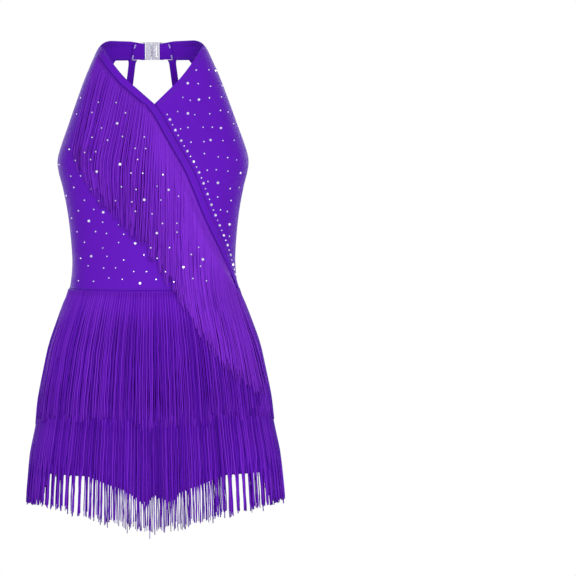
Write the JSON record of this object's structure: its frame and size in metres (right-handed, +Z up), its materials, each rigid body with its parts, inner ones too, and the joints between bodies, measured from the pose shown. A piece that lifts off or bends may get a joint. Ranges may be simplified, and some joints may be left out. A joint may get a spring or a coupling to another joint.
{
  "type": "latin dance dress",
  "caption": "Girl's halter dance dress in purple knit: open strapped back, nape clasp, slanting bodice fringe, tiered fringe skirt over shorts; worn form, hollow.",
  "frame": {"origin": "centre of the neck ring, at the middle of the collar's height", "axes": "+Z up, the front faces -Y, +X is the wearer's left"},
  "size_m": [0.3102, 0.2124, 0.5986],
  "materials": {
    "knit": "smooth stretch knit, soft sheen",
    "fringe": "twisted rayon strands, soft sheen",
    "clasp": "clear, polished"
  },
  "bodies": {
    "root": {"front_right_panel": "knit", "front_left_panel": "knit", "back_panel": "knit", "wrap_band": "knit", "collar_right": "knit", "collar_left": "knit", "strap_inner_right": "knit", "strap_inner_left": "knit", "strap_outer_right": "knit", "strap_outer_left": "knit", "shorts_front_right": "knit", "shorts_front_left": "knit", "shorts_back_right": "knit", "shorts_back_left": "knit", "clasp_hook": "clasp", "clasp_loop": "clasp", "bodice_fringe": "fringe", "skirt_fringe_upper": "fringe", "skirt_fringe_lower": "fringe"}
  },
  "joints": []
}
